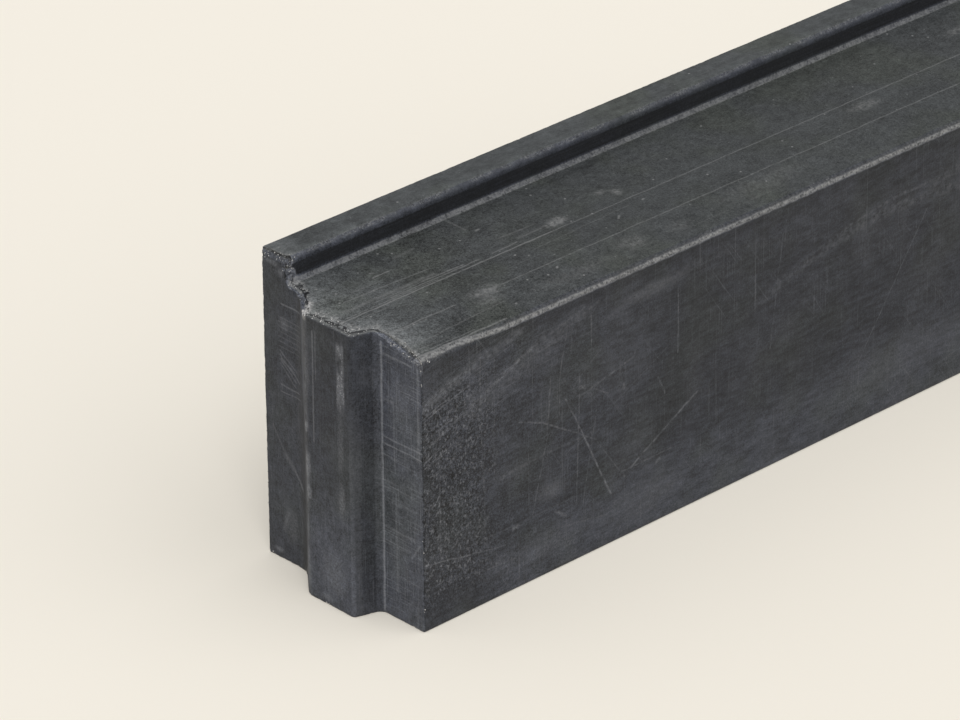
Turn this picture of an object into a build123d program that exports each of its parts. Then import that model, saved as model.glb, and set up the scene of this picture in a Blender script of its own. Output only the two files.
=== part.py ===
from build123d import *
import os

# Concrete kerb stone with a raised back strip and tongue and groove ends.
# X runs along the kerb, the front face looks to -Y and the bed lies on Z = 0.
# The origin is the middle of the bed, half way between the two joint faces.
# All sizes are in millimetres.

# Body
length = 1000  # laying length, from joint face to joint face
width = 200  # front face to back face
back_height = 300  # bed to the top of the back strip

# Top, from back to front
strip_width = 32  # raised strip along the back edge
step_height = 25  # from the strip down to the tread at the riser's foot
riser_draft = 1  # the riser's foot stands this far forward of its top
tread_fall = 2  # drop of the tread from the riser to the bevel
bevel_width = 43  # sloping margin along the front edge
bevel_fall = 10  # drop across the bevel

# Rounding of the long edges
strip_round = 5  # front edge of the strip
cove_round = 5  # hollow at the foot of the riser
front_round = 6  # top edge of the front face
back_round = 2  # top edge of the back face
bed_round = 2  # both edges of the bed

# Joint: a tongue on the -X end, and the groove that takes it on the +X end
tongue_reach = 26  # how far the tongue stands out of the joint face
tongue_setback = 61  # front face to the front corner of the tongue's tip
tongue_tip = 58  # width of the tip
front_flank = 8  # how much wider the root is on its front side
back_flank = 31  # how much wider the root is on its back side
root_round = 6  # hollow where each flank meets the joint face
tip_round = 3  # corners of the tip
joint_gap = 3  # mortar space between a tongue and its groove

end_chamfer = 2  # upright outer edges of both joint faces
overcut = 10  # how far cutters run past what they cut

front = -width / 2
back = width / 2
tongue_face = -length / 2
groove_face = length / 2
tread_back = back_height - step_height
tread_front = tread_back - tread_fall
front_top = tread_front - bevel_fall


def corner(sketch, x, y):
    """The sketch's corner at a point."""
    return sketch.vertices().sort_by_distance((x, y, 0))[0]


def joint_cutter(face, gap, inward, far_side):
    """Plan of all that lies between a joint's outline and a line at far_side.

    inward is 1 where the kerb lies on the +X side of its joint face, and else -1.
    """
    tip = face - tongue_reach - gap
    tip_front = front + tongue_setback - gap
    tip_back = front + tongue_setback + tongue_tip + gap
    root_front = tip_front - front_flank
    root_back = tip_back + back_flank
    chamfer_end = face + inward * (end_chamfer + overcut)
    with BuildSketch(Plane.XY.offset(-overcut)) as plan:
        with BuildLine():
            Polyline(
                (chamfer_end, front - overcut),
                (face, front + end_chamfer),
                (face, root_front),
                (tip, tip_front),
                (tip, tip_back),
                (face, root_back),
                (face, back - end_chamfer),
                (chamfer_end, back + overcut),
                (far_side, back + overcut),
                (far_side, front - overcut),
                close=True,
            )
        make_face()
        fillet([corner(plan, face, root_front), corner(plan, face, root_back)], root_round)
        fillet([corner(plan, tip, tip_front), corner(plan, tip, tip_back)], tip_round)
    return plan.sketch


with BuildPart() as kerb_stone:
    # Section, seen from the tongue end: sketch x is the kerb's Y and sketch y its Z
    with BuildSketch(Plane.YZ.offset(tongue_face - tongue_reach)) as section:
        riser_top = back - strip_width
        riser_foot = riser_top - riser_draft
        bevel_top = front + bevel_width
        with BuildLine():
            Polyline(
                (front, 0),
                (back, 0),
                (back, back_height),
                (riser_top, back_height),
                (riser_foot, tread_back),
                (bevel_top, tread_front),
                (front, front_top),
                close=True,
            )
        make_face()
        fillet([corner(section, front, 0), corner(section, back, 0)], bed_round)
        fillet(corner(section, back, back_height), back_round)
        fillet(corner(section, riser_top, back_height), strip_round)
        fillet(corner(section, riser_foot, tread_back), cove_round)
        fillet(corner(section, front, front_top), front_round)
    extrude(amount=length + tongue_reach)

    # The tongue is what stays when the stock on both sides of it is cut back
    beside_tongue = joint_cutter(tongue_face, 0, 1, tongue_face - tongue_reach - overcut)
    extrude(beside_tongue, amount=back_height + 2 * overcut, mode=Mode.SUBTRACT)

    # The groove runs through from bed to top, like the tongue it takes
    groove = joint_cutter(groove_face, joint_gap, -1, groove_face + overcut)
    extrude(groove, amount=back_height + 2 * overcut, mode=Mode.SUBTRACT)

os.makedirs("parts", exist_ok=True)
kerb_stone.part.label = "kerb_stone"
export_step(kerb_stone.part, "parts/kerb_stone.step")
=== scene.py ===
"""Concrete kerb stone: the casting with its broken arrises, the crumbs on it, and a plain stage."""

import math

import bmesh
import bpy
import numpy as np
from bpy.props import FloatProperty, FloatVectorProperty, IntProperty, PointerProperty
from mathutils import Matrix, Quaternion, Vector, noise


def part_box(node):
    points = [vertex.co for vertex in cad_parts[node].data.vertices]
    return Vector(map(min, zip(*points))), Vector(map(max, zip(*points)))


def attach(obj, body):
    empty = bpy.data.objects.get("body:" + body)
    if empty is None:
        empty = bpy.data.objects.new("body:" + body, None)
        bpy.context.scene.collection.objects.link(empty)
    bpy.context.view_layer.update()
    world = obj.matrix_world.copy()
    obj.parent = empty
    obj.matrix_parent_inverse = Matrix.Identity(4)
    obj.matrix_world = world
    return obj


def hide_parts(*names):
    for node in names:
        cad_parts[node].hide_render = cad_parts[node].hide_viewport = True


bl_info = {
    "name": "Kerb stone",
    "version": (1, 0, 0),
    "blender": (4, 5, 0),
    "location": "3D View > Sidebar > Kerb",
    "description": "Dresses a cast concrete kerb stone with worn arrises and its finish",
    "category": "Add Mesh",
}

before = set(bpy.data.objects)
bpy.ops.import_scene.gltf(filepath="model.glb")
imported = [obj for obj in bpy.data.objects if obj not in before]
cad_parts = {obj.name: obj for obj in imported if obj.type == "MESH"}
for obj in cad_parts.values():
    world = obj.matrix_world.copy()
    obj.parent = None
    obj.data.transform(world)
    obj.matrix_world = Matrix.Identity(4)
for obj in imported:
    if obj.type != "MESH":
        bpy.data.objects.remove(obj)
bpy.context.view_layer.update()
LOW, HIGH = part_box("kerb_stone")
MM = 0.001


def size(name, description, default_mm, **options):
    """A length property, given in millimetres."""
    return FloatProperty(
        name=name, description=description, default=default_mm * MM,
        min=0.0, subtype="DISTANCE", unit="LENGTH", precision=4, **options,
    )


def colour(name, description, default):
    """A colour property, in linear values."""
    return FloatVectorProperty(
        name=name, description=description, default=default, min=0.0, max=1.0, size=3, subtype="COLOR",
    )


class KerbShape(bpy.types.PropertyGroup):
    """The casting's section and joint, as the solid has them."""

    strip_width: size("Strip width", "Raised strip along the back edge", 32)
    step_height: size("Step height", "From the strip down to the tread", 25)
    riser_draft: size("Riser draft", "How far the riser's foot stands forward", 1)
    tread_fall: size("Tread fall", "Drop of the tread from the riser to the bevel", 2)
    bevel_width: size("Bevel width", "Sloping margin along the front edge", 43)
    bevel_fall: size("Bevel fall", "Drop across the bevel", 10)
    strip_round: size("Strip rounding", "Front edge of the strip", 5)
    cove_round: size("Cove", "Hollow at the foot of the riser", 5)
    front_round: size("Front rounding", "Top edge of the front face", 6)
    back_round: size("Back rounding", "Top edge of the back face", 2)
    bed_round: size("Bed rounding", "Both edges of the bed", 2)
    crease_round: size("Crease rounding", "Where the bevel meets the tread", 2)
    tongue_reach: size("Tongue reach", "How far the tongue stands out", 26)
    tongue_setback: size("Tongue setback", "Front face to the tip's front corner", 61)
    tongue_tip: size("Tongue tip", "Width of the tip", 58)
    front_flank: size("Front flank", "How much wider the root is in front", 8)
    back_flank: size("Back flank", "How much wider the root is behind", 31)
    root_round: size("Root rounding", "Where each flank meets the joint face", 6)
    tip_round: size("Tip rounding", "Corners of the tip", 3)
    joint_gap: size("Joint gap", "Space between a tongue and its groove", 3)


class KerbWear(bpy.types.PropertyGroup):
    """How the arrises and faces of the casting are worn."""

    pitch: size("Pitch", "Spacing of the mesh before it is thinned", 1.0)
    lip: size("Lip", "Rounding along the edges of a broken arris", 0.5)
    upright_leg: size("Upright leg", "Wear of the upright and lower edges of the ends", 1.0)
    roughness: size("Roughness", "Depth of the rough texture of a broken arris", 1.1)
    crack: size("Crack", "Depth of the crack along the broken arris", 0.9)
    waviness: size("Waviness", "Depth of the slow waves in the cast faces", 0.2)
    triangles: IntProperty(
        name="Triangles", description="Most triangles of the finished casting", default=180000, min=20000,
    )
    crumb_size: size("Crumb size", "Largest crumb on a broken arris", 1.7)
    crumb_density: FloatProperty(
        name="Crumbs", description="Crumbs to a square centimetre", default=8, min=0,
    )
    heap_density: FloatProperty(
        name="Heap", description="Crumbs to a square centimetre of the heap", default=110, min=0,
    )
    heap_radius: size("Heap radius", "Reach of the heap of crumbs", 10)
    seed: IntProperty(name="Seed", description="Seed of the crumbs", default=7)


class KerbFinish(bpy.types.PropertyGroup):
    """Colours of the concrete."""

    paste: colour("Paste", "Fair-faced dark concrete", (0.034, 0.0346, 0.0352))
    scuff: colour("Scuff", "Rubbed and scratched concrete", (0.235, 0.236, 0.236))
    dust: colour("Dust", "Crumbs of broken concrete", (0.55, 0.54, 0.53))
    # The shade colour darkens the pores, and is painted shade on the riser, in the crack and the blowholes,
    # and on shaded parts of the break
    shade: colour("Shade", "Pores and the dark of the riser", (0.010, 0.0105, 0.012))


class KerbStage(bpy.types.PropertyGroup):
    """Camera and backdrop."""

    backdrop: colour("Backdrop", "Pale floor", (0.922, 0.871, 0.776))


# Wear along the top of the tongue end: place across the kerb, then how far the
# broken arris runs back along the kerb and how far it drops, all in millimetres.
TOP_WEAR = (
    (-100, 1.6, 1.8), (-95, 3.6, 5), (-88, 4.5, 6), (-70, 5, 6), (-56, 5, 5), (-50, 6, 3), (-45, 11, 1),
    (-38, 12.5, 0.8), (-20, 13, 0.8), (0, 13, 0.8), (12, 12, 1), (19, 8, 2), (27, 6.5, 4), (42, 7, 7),
    (50, 9, 4), (60, 9.5, 3), (66, 9, 3.5), (71, 6.5, 5.5), (76, 4, 6), (86, 3.5, 5.5), (94, 2.8, 4.5),
    (100, 1.2, 1.2),
)

# Blowholes: middle and radius in millimetres.
BLOWHOLES = (
    (-497.5, 44.3, 272.6, 2.3), (-505.5, 37.5, 272.5, 1.4), (-497, 71, 291, 1.6),
)

# Middle of the heap of white crumbs at the tongue's back corner, and the streak
# of dust it lies in: from, to, reach and strength.
WHITE_CRUMBS = (-518, 23, 272)
WHITE_STREAK = ((-524, 19, -509, 29, 5.5, 1.25),)

# Where the mesh is made finer or coarser before it is drawn onto the stone:
# places along each axis in millimetres, with the scale between each pair.
SPACING = (
    ((-530, 1.35), (-466, 0.5), (462, 1.0), (510, 1.0)),
    ((-110, 1.0), (110, 1.0)),
    ((-10, 0.35), (240, 1.0), (310, 1.0)),
)

# Marks on the front face, read along and up in millimetres: from, to, width, strength.
FRONT_MARKS = (
    (-415, 171, -415, 240, 0.9, 0.5), (-370, 150, -370, 236, 0.8, 0.45), (-326, 242, -337, 192, 1, 0.65),
    (-337, 192, -338, 152, 1, 0.6), (-299, 205, -299.5, 243, 0.9, 0.65),
    (-192, 222, -192.5, 160, 1.2, 0.75), (-330, 164, -309, 122, 1.2, 0.85), (-309, 122, -275, 50, 1.5, 1),
    (-300, 120, -262, 66, 0.9, 0.4), (-167, 112, -250, 67, 1.7, 0.85), (-199, 67, -262, 67, 1.2, 0.6),
    (-261, 67, -258, 60, 1.6, 0.6), (-386, 163, -357, 151, 1.2, 0.75), (-357, 151, -309, 121, 1.2, 0.75),
    (-309, 121, -293, 111, 1.2, 0.7), (-500, 66, -435, 54, 1.3, 0.85), (-435, 54, -398, 48, 1, 0.45),
    (-330, 110, -205, 170, 0.8, 0.3), (-348, 192, -353, 132, 1.2, 0.65), (-353, 132, -370, 66, 1.1, 0.55),
    (-313, 184, -315, 122, 1.1, 0.65), (-315, 122, -317, 55, 1, 0.55), (-293, 140, -309, 52, 1, 0.5),
    (-375, 150, -375, 76, 0.8, 0.35), (-312, 161, -248, 175, 1.6, 0.55), (-296, 162, -278, 151, 1.2, 0.5),
    (-314, 170, -307, 167, 2.8, 0.75), (-217, 145, -208, 125, 1.4, 0.65), (-318, 176, -290, 196, 0.9, 0.4),
    (-428, 150, -428, 70, 1, 0.4), (-410, 117, -350, 120, 2.6, 0.42), (-350, 120, -290, 119, 1.6, 0.34),
    (-480, 166, -480, 57, 1.7, 0.42), (-443, 64, -317, 64, 1.3, 0.3), (-335, 40, -278, 31, 1.2, 0.4),
    (-425, 33, -391, 31, 1.1, 0.5), (-500, 216, -445, 235, 8, 0.58), (-445, 235, -385, 250, 8, 0.5),
    (-500, 185, -465, 195, 2, 0.8), (-491, 179, -426, 206, 2.6, 0.62), (-426, 206, -365, 231, 3.8, 0.92),
    (-365, 231, -309, 244, 3.6, 0.6), (-385, 217, -290, 245, 2.2, 0.5), (-440, 196, -310, 240, 17, 0.36),
    (-470, 150, -455, 168, 2, 0.35), (-259, 153, -259, 149, 2.4, 1), (-407, 115, -404, 117, 2.2, 0.8),
    (-414, 35, -411, 35, 2.4, 0.85), (-395, 246, -391, 248, 2.2, 1), (-218, 60, -215, 62, 2.6, 0.7),
    (-393, 61, -388, 62, 3, 1), (-343, 59, -331, 50, 2.2, 0.95), (40, 60, 130, 190, 1, 0.55),
    (210, 220, 190, 110, 1, 0.5), (330, 90, 420, 120, 1, 0.55), (-60, 230, -75, 120, 1, 0.45),
    (260, 60, 300, 150, 1, 0.4),
)

# Arcs left by the trowel on the front face: middle, top, radius, width, strength.
FRONT_ARCS = (
    (-170, 238, 460, 7, 0.12), (90, 205, 480, 9, 0.3), (110, 216, 420, 2.4, 0.36), (300, 232, 600, 7, 0.28),
)

# Rubbed places on the front face: middle along and up, half length, half height, strength.
FRONT_PATCHES = (
    (-365, 30, 85, 20, 0.12), (-348, 81, 28, 11, 0.2), (-395, 118, 34, 14, 0.1), (-235, 30, 70, 22, 0.1),
    (-225, 233, 45, 9, 0.22), (100, 50, 120, 30, 0.12), (350, 60, 90, 30, 0.12),
)

# Marks on the tread, read along and across.
TREAD_MARKS = (
    (-516, -16.6, -265, -16.4, 1.4, 1), (-265, -16.4, 500, -16, 1.2, 0.62), (-487, 9.5, -393, 6, 1.3, 0.55),
    (-498, -3.6, -395, -4.4, 3.4, 0.46), (-412, -7.2, -365, -9, 1.3, 0.8),
    (-451, -11.4, -348, -11.4, 1.4, 0.7), (-331, -10.8, -301, -10, 1.6, 0.7),
    (-295, -5.2, -268, -5.2, 2, 0.5), (-312, 6, -265, 4, 1.6, 0.38), (-505, -13.6, -400, -14, 1.2, 0.6),
    (-470, -8.6, -410, -8.2, 1.2, 0.5), (-505, -22, -460, -22, 1.6, 0.4), (-438, 26.2, -419, 26.2, 1.3, 1),
    (-434, 34, -431, 32.5, 1.6, 0.7), (-470, 18, -440, 17, 1.3, 0.4), (-400, 40, -375, 43, 2.4, 0.34),
    (-318, 62, -318, 38, 1.8, 0.45), (-500, -57, -420, -57.3, 1.3, 0.7),
    (-495, -59.4, -455, -59.6, 1.1, 0.5), (-366, -57, 500, -56.6, 1.1, 0.6), (-300, -30, -180, -26, 1, 0.3),
    (-480, -80, -380, -76, 1.1, 0.4), (-524, -94, -395, -94.3, 1.1, 0.85),
    (-524, -91, -430, -91.6, 0.9, 0.6), (-500, -87, -455, -87.5, 0.9, 0.4),
    (-307, -65.4, -306, -64.6, 1.7, 1.6), (-320, -27, -319, -26.6, 1.4, 1.3),
    (-312, -36, -311, -35, 1.4, 1.1), (-374, -84.5, -373, -84, 1.4, 1.2), (-454, 8, -453, 8.4, 1.6, 1.3),
    (-164, -27, -162, -26, 1.6, 1.1), (-312, 30, -309, 30, 2.2, 0.9), (-205, -38, -201, -35, 1.6, 0.9),
)

# Rubbed patches on the tread: middle along and across, half length and half width, strength.
TREAD_PATCHES = (
    (-384, -57, 24, 10, 1), (-390, -68, 20, 8, 0.55), (-250, -6, 17, 9, 1.3), (-181, 9, 9, 5, 0.75),
    (-170, -1, 7, 9, 0.95), (-223, -74, 19, 12, 0.55), (-300, -80, 60, 10, 0.28), (-172, -78, 16, 8, 0.35),
    (-60, -72, 70, 14, 0.3), (120, -30, 26, 10, 0.7), (300, 20, 20, 8, 0.7), (380, -74, 50, 13, 0.34),
)

# Dark stains on the tread, placed like the patches.
TREAD_STAINS = (
    (-254, -73, 15, 9, 1), (-443, -76, 24, 8, 0.7), (-172, 55, 60, 6, 1), (-415, 59, 26, 5, 0.8),
    (200, 54, 80, 6, 0.8),
)

# Marks on the tongue end, read across and up.
END_MARKS = (
    (-53, 253.6, -88, 253.7, 1.4, 0.8), (-52, 174, -100, 174.3, 1.3, 0.75),
    (-52, 167.6, -100, 168, 1.2, 0.8), (-51, 264, -51, 4, 1.5, 1), (-67, 122, -67, 28, 2, 0.45),
    (-65.5, 210, -65.5, 150, 1.4, 0.35), (-52, 87, -89, 86, 2.4, 0.4), (-52, 74, -84, 73.5, 1.4, 0.35),
    (-60, 128, -90, 127.5, 1.2, 0.35), (-52, 210, -66, 210, 1.4, 0.4), (-56, 116, -92, 115.5, 1.2, 0.3),
    (-96, 84, -86, 68, 1.8, 0.5), (-95.5, 252, -95.5, 182, 2.4, 0.5), (-90, 266, -86, 259, 2.4, 1),
    (76, 201, 53, 185, 1.3, 0.6), (77, 200, 61, 192.5, 1.3, 0.55), (53, 174.3, 78, 175, 1.2, 0.55),
    (52, 168.8, 78, 168.3, 1, 0.45), (50, 254.3, 75, 254, 1.3, 0.7), (51, 81, 64, 97, 2, 0.55),
    (64, 97, 74, 106, 4.2, 0.4), (74, 106, 90, 131, 1.8, 0.3), (73, 49, 78, 31, 3.6, 0.34),
    (7.2, 262, 8, 155, 1.3, 0.65), (3.5, 262, 4, 217, 1.3, 0.38),
)

# Rubbed places on the tongue end: middle across and up, half width, half height, strength.
END_PATCHES = (
    (85, 8, 9, 3.5, 0.34), (68, 38, 12, 22, 0.14), (72, 235, 7, 9, 0.18), (86, 290, 11, 3.5, 0.26),
    (75, 284, 5, 6, 0.2), (-14, 34, 20, 30, 0.18), (-26, 112, 6, 22, 0.26), (-26, 165, 5, 38, 0.16),
    (-6, 8, 10, 5, 0.3), (16.5, 128, 5, 22, 0.32), (15.5, 104, 4.5, 10, 0.36), (18, 167, 4, 6, 0.5),
    (15, 222, 4, 34, 0.16), (-95, 172, 3, 10, 0.3), (-74, 214, 18, 30, 0.1), (-70, 60, 20, 34, 0.08),
)

# Dark stains on the tongue end, placed like the patches.
END_STAINS = (
    (-80, 107, 11, 7, 1), (-76, 124, 5, 7, 0.7), (16, 12, 5, 12, 0.7), (72, 150, 14, 16, 0.4),
)


# Shape field


def side(u, v, start, end):
    """Distance to the left of a line in a plane, negative on its right."""
    du, dv = end[0] - start[0], end[1] - start[1]
    return ((v - start[1]) * du - (u - start[0]) * dv) / math.hypot(du, dv)


def meet(a, b, r):
    """Distance to what two solids share, its arris rounded to r."""
    return np.minimum(np.maximum(a, b), -r) + np.hypot(np.maximum(a + r, 0), np.maximum(b + r, 0))


def join(a, b, r):
    """Distance to two solids together, with a hollow of radius r between them."""
    return -meet(-a, -b, r)


def broken(a, b, leg_a, leg_b, lip):
    """Like meet, with the arris broken off to a slope with these two legs."""
    slope = (a / leg_a + b / leg_b + 1) * leg_a * leg_b / np.hypot(leg_a, leg_b)
    return meet(meet(a, b, lip), slope, lip)


def section_field(y, z, s, front_round, back_round, strip_round):
    """Distance to the kerb's section."""
    front, back, top = LOW.y, HIGH.y, HIGH.z
    tread_back = top - s.step_height
    tread_front = tread_back - s.tread_fall
    front_top = (front, tread_front - s.bevel_fall)
    bevel_top = (front + s.bevel_width, tread_front)
    riser_top = (back - s.strip_width, top)
    riser_foot = (riser_top[0] - s.riser_draft, tread_back)
    low = meet(side(y, z, front_top, bevel_top), side(y, z, bevel_top, riser_foot), s.crease_round)
    high = meet(side(y, z, riser_foot, riser_top), z - top, strip_round)
    skin = join(low, high, s.cove_round)
    skin = meet(meet(skin, front - y, front_round), y - back, back_round)
    return meet(skin, -z, s.bed_round)


def tongue_field(x, y, s, face, gap):
    """Distance in plan to a tongue that runs on for ever behind its tip."""
    tip = face - s.tongue_reach - gap
    tip_front = LOW.y + s.tongue_setback - gap
    tip_back = LOW.y + s.tongue_setback + s.tongue_tip + gap
    front_flank = side(x, y, (face, tip_front - s.front_flank), (tip, tip_front))
    back_flank = side(x, y, (tip, tip_back), (face, tip_back + s.back_flank))
    return meet(meet(tip - x, front_flank, s.tip_round), back_flank, s.tip_round)


def end_fields(x, y, s):
    """Distances to the tongue end and to the groove end."""
    tongue_face, groove_face = LOW.x + s.tongue_reach, HIGH.x
    near = join(tongue_face - x, tongue_field(x, y, s, tongue_face, 0), s.root_round)
    pocket = tongue_field(x, y, s, groove_face, s.joint_gap)
    far = meet(x - groove_face, -pocket, s.root_round)
    return near, far


def stone_field(p, s, worn):
    """Distance to the worn stone; worn holds each point's own wear sizes."""
    x, y, z = p.T
    skin = section_field(y, z, s, worn["front"], worn["back"], worn["strip"])
    near, far = end_fields(x, y, s)
    stone = broken(skin, near, worn["near_drop"], worn["near_run"], worn["lip"])
    stone = broken(stone, far, worn["far"], worn["far"], worn["lip"])
    for *middle, radius in BLOWHOLES:
        hole = radius * MM - np.linalg.norm(p - np.array(middle) * MM, axis=1)
        stone = np.maximum(stone, hole)
    return stone


def wear_depths(p, s):
    """How deep points lie below the unworn skin and below the unbroken end arrises."""
    x, y, z = p.T
    near, far = end_fields(x, y, s)
    ends = np.maximum(near, far)
    tiny = 0.1 * MM
    sharp = section_field(y, z, s, tiny, tiny, s.strip_round)
    rounded = section_field(y, z, s, s.front_round, s.back_round, s.strip_round)
    return -np.maximum(sharp, ends), -meet(rounded, ends, tiny)


# Wear


# Wavelengths of the unevenness, in metres
SLOW_WAVE, QUICK_WAVE, FACE_WAVE = 0.022, 0.005, 0.16
BREAK_GRAIN, ARRIS_GRAIN, CRACK_GRAIN, STRUCK_GRAIN = 0.0034, 0.004, 0.009, 0.02

STRUCK_DEPTH = 0.0002  # unevenness of the struck back face
EDGE_BAND = 0.02  # how far in from the stone's outside its wear is uneven
TREAD_BAND = 0.25  # height above which all wear is uneven


def grain(points, wavelength, octaves=2, shift=0.0):
    """Smooth noise from about -1 to 1 at each point."""
    scaled = (points / wavelength + shift).tolist()
    return np.array([noise.fractal(q, 1.0, 2.0, octaves) for q in scaled])


def pitted(points, wavelength, octaves, shift, level=0.5, swing=0.6, top=1.2):
    """Depth of a rough surface at each point, from 0 to top."""
    return np.clip(level + swing * grain(points, wavelength, octaves, shift), 0, top)


def blend(value, low, high):
    """Goes smoothly from 0 at low to 1 at high."""
    t = np.clip((value - low) / (high - low), 0, 1)
    return t * t * (3 - 2 * t)


def crown(y, s):
    """Height of the top of the stone across the kerb."""
    tread = HIGH.z - s.step_height
    across = (LOW.y, LOW.y + s.bevel_width, HIGH.y - s.strip_width - s.riser_draft, HIGH.y - s.strip_width)
    return np.interp(y, across, (tread - s.tread_fall - s.bevel_fall, tread - s.tread_fall, tread, HIGH.z))


def plain_wear(s, w):
    """The wear sizes without any unevenness."""
    return {
        "front": s.front_round, "back": s.back_round, "strip": s.strip_round, "near_run": w.upright_leg,
        "near_drop": w.upright_leg, "far": w.upright_leg, "lip": w.lip,
    }


def wear_sizes(p, s, w):
    """Each point's own wear, so that no arris is broken evenly."""
    x, y, z = p.T
    slow, quick = np.zeros(len(p)), np.zeros(len(p))
    end_band = s.tongue_reach + EDGE_BAND
    edge = (x < LOW.x + end_band) | (x > HIGH.x - end_band) | (z < EDGE_BAND) | (z > TREAD_BAND)
    edge |= (y < LOW.y + EDGE_BAND) | (y > HIGH.y - EDGE_BAND)
    slow[edge] = grain(p[edge], SLOW_WAVE, 2)
    quick[edge] = grain(p[edge], QUICK_WAVE, 2, 5.3)
    uneven = np.clip(1 + 0.35 * slow + 0.45 * quick, 0.4, 2.0)
    place, run, drop = np.array(TOP_WEAR).T * MM
    top_share = blend(crown(y, s) - z, 0.018, 0.010)
    upright = w.upright_leg * uneven
    near_run, near_drop = (
        upright + top_share * (np.interp(y, place, leg) * uneven - upright) for leg in (run, drop)
    )
    back_share = 0.55 + 0.3 * slow + 0.4 * quick - 0.25 * blend(x, -0.33, -0.40)
    return {
        "front": s.front_round * np.clip(1.08 + 0.16 * slow + 0.20 * quick, 0.6, 1.5),
        "back": s.back_round * np.clip(back_share, 0.2, 1.5),
        "strip": s.strip_round * np.clip(1.25 + 0.10 * slow, 1.0, 1.5),
        "near_run": near_run,
        "near_drop": near_drop,
        "far": upright * (1 + 1.6 * top_share),
        "lip": w.lip * (1 - 0.8 * top_share * blend(near_drop, 3 * MM, 1.5 * MM)),
    }


def slope_of(p, field, value, reach=0.0002):
    """The field's slope at each point."""
    slope = np.empty_like(p)
    for axis in range(3):
        ahead = p.copy()
        ahead[:, axis] += reach
        slope[:, axis] = (field(ahead) - value) / reach
    return slope


def pull_onto(p, field, steps=5):
    """Moves points along the field's slope until they lie where it is zero."""
    for _ in range(steps):
        value = field(p)
        slope = slope_of(p, field, value)
        length2 = np.maximum((slope**2).sum(1), 0.25)
        p = p - slope * (value / length2)[:, None]
    return p


def outward(p, field):
    """Unit directions out of the stone at each point."""
    slope = slope_of(p, field, field(p), 0.0004)
    return slope / np.maximum(np.linalg.norm(slope, axis=1), 1e-6)[:, None]


def spread(points, back=False):
    """Stretches points along each axis by SPACING, or undoes it."""
    done = np.empty_like(points)
    for axis, table in enumerate(SPACING):
        places = np.array([place for place, _ in table]) * MM
        scales = np.array([scale for _, scale in table[:-1]])
        spaced = np.concatenate([[0], np.cumsum(np.diff(places) * scales)])
        before, after = (spaced, places) if back else (places, spaced)
        done[:, axis] = np.interp(points[:, axis], before, after)
    return done


def get_points(mesh):
    points = np.empty(len(mesh.vertices) * 3)
    mesh.vertices.foreach_get("co", points)
    return points.reshape(-1, 3)


def set_points(mesh, points):
    mesh.vertices.foreach_set("co", points.ravel())
    mesh.update()


def add_object(name, data):
    """A new object in the scene."""
    obj = bpy.data.objects.new(name, data)
    bpy.context.collection.objects.link(obj)
    return obj


def evaluated(obj):
    """The object's mesh with its modifiers applied."""
    return bpy.data.meshes.new_from_object(obj.evaluated_get(bpy.context.evaluated_depsgraph_get()))


def fine_mesh(obj, w):
    """The solid as an even mesh of small faces, finest at the top of the tongue end."""
    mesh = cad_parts["kerb_stone"].data.copy()
    bm = bmesh.new()
    bm.from_mesh(mesh)
    bmesh.ops.remove_doubles(bm, verts=bm.verts, dist=1e-6)
    bm.to_mesh(mesh)
    bm.free()
    set_points(mesh, spread(get_points(mesh)))
    obj.data = mesh
    remesh = obj.modifiers.new("fine_mesh", "REMESH")
    remesh.mode = "VOXEL"
    remesh.voxel_size = w.pitch
    fine = evaluated(obj)
    obj.modifiers.clear()
    set_points(fine, spread(get_points(fine), back=True))
    return fine


def break_place(p, s, worn):
    """Where points of the worn stone lie in the broken arris of the tongue end.

    The first value is 0 at the top of the stone and 1 at its end. The second is 1 on
    the broken face and grows beyond it.
    """
    x, y, z = p.T
    near, _ = end_fields(x, y, s)
    skin = section_field(y, z, s, s.front_round, s.back_round, s.strip_round)
    below = np.maximum(-skin, 0) / worn["near_drop"]
    behind = np.maximum(-near, 0) / worn["near_run"]
    reach = np.maximum(below + behind, 1e-6)
    return below / reach, reach


def keep_values(mesh, name, values):
    """Keeps a number for each vertex under a name."""
    layer = mesh.attributes.new(name, "FLOAT", "POINT")
    layer.data.foreach_set("value", values)


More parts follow.
